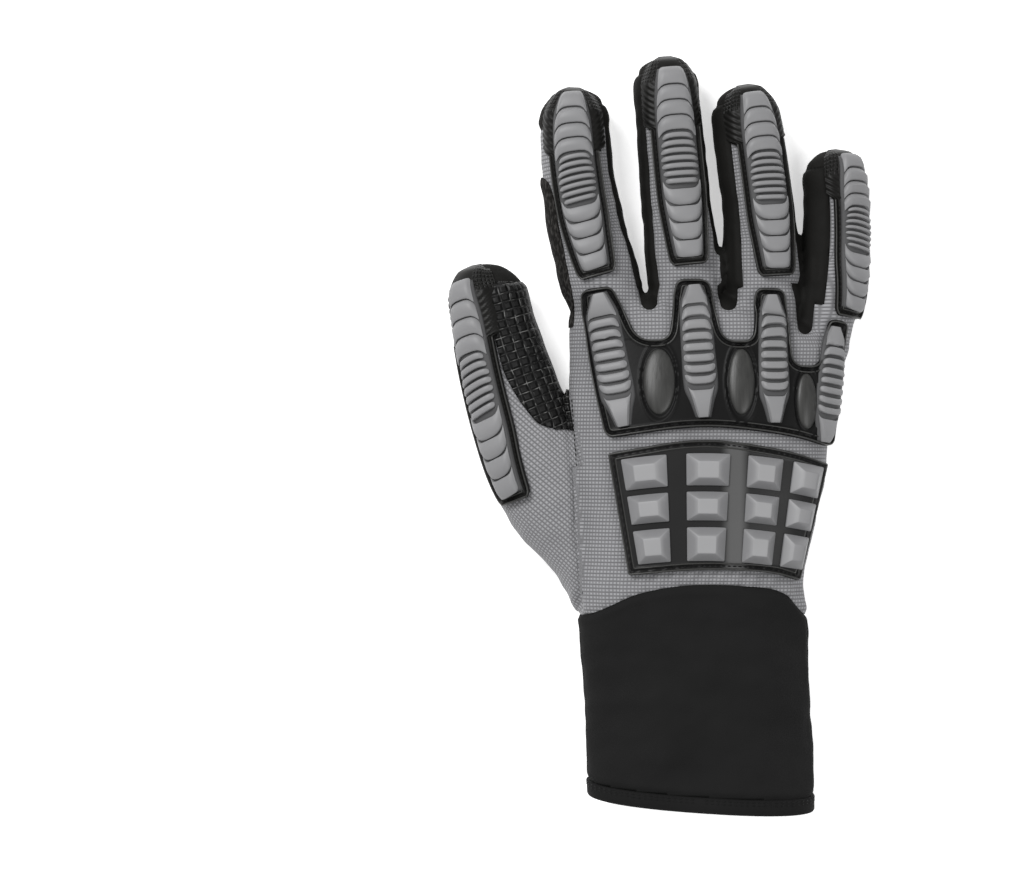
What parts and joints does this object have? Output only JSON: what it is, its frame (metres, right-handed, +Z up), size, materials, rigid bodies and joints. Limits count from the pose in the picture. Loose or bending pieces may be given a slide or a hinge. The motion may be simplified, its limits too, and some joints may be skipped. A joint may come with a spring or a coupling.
{
  "type": "impact glove",
  "caption": "Right-hand work glove lying palm down, with rubber impact pads on the back, glossy grip patches on the palm and a long padded cuff.",
  "frame": {"origin": "underside of the palm's middle grip patch, where the glove rests on the table", "axes": "+Y along the hand to the fingertips, +X to the little finger, +Z up out of the back of the hand"},
  "size_m": [0.1644, 0.2934, 0.0401],
  "materials": {
    "grey_knit": "grey knit with a fine grid grain",
    "black_leather": "black synthetic leather",
    "neoprene": "black fabric-faced neoprene",
    "grid_grip": "black with a grid of pale broken threads",
    "suede": "black brushed microfibre",
    "black_rubber": "satin moulded rubber",
    "grey_rubber": "satin moulded rubber",
    "gloss_patch": "glossy printed grip with a pale rim"
  },
  "bodies": {
    "root": {"back_panel": "grey_knit", "thumb_panel": "grey_knit", "palm_panel": "black_leather", "fourchette_index_middle": "black_leather", "fourchette_middle_ring": "black_leather", "fourchette_ring_little": "black_leather", "cuff_back": "neoprene", "cuff_palm": "neoprene", "cuff_hem": "neoprene", "thumb_saddle": "grid_grip", "pull_tab": "grid_grip", "index_side_patch": "suede", "thumb_heel_patch": "suede", "index_pad_base": "black_rubber", "index_pad_ribs": "grey_rubber", "middle_pad_base": "black_rubber", "middle_pad_ribs": "grey_rubber", "ring_pad_base": "black_rubber", "ring_pad_ribs": "grey_rubber", "little_pad_base": "black_rubber", "little_pad_ribs": "grey_rubber", "thumb_pad_base": "black_rubber", "thumb_pad_ribs": "grey_rubber", "knuckle_pad_base": "black_rubber", "hand_pad_base": "black_rubber", "knuckle_ribs_index": "grey_rubber", "index_patch_tip": "gloss_patch", "index_patch_mid": "gloss_patch", "knuckle_ribs_middle": "grey_rubber", "middle_patch_tip": "gloss_patch", "middle_patch_mid": "gloss_patch", "knuckle_ribs_ring": "grey_rubber", "ring_patch_tip": "gloss_patch", "ring_patch_mid": "gloss_patch", "knuckle_ribs_little": "grey_rubber", "little_patch_tip": "gloss_patch", "little_patch_mid": "gloss_patch", "hand_block_1_1": "grey_rubber", "hand_block_1_2": "grey_rubber", "hand_block_1_3": "grey_rubber", "hand_block_1_4": "grey_rubber", "hand_block_2_1": "grey_rubber", "hand_block_2_2": "grey_rubber", "hand_block_2_3": "grey_rubber", "hand_block_2_4": "grey_rubber", "hand_block_3_1": "grey_rubber", "hand_block_3_2": "grey_rubber", "hand_block_3_3": "grey_rubber", "hand_block_3_4": "grey_rubber", "palm_patch_knuckles": "gloss_patch", "palm_patch_middle": "gloss_patch", "palm_patch_heel": "gloss_patch", "palm_patch_thumb": "gloss_patch"}
  },
  "joints": []
}
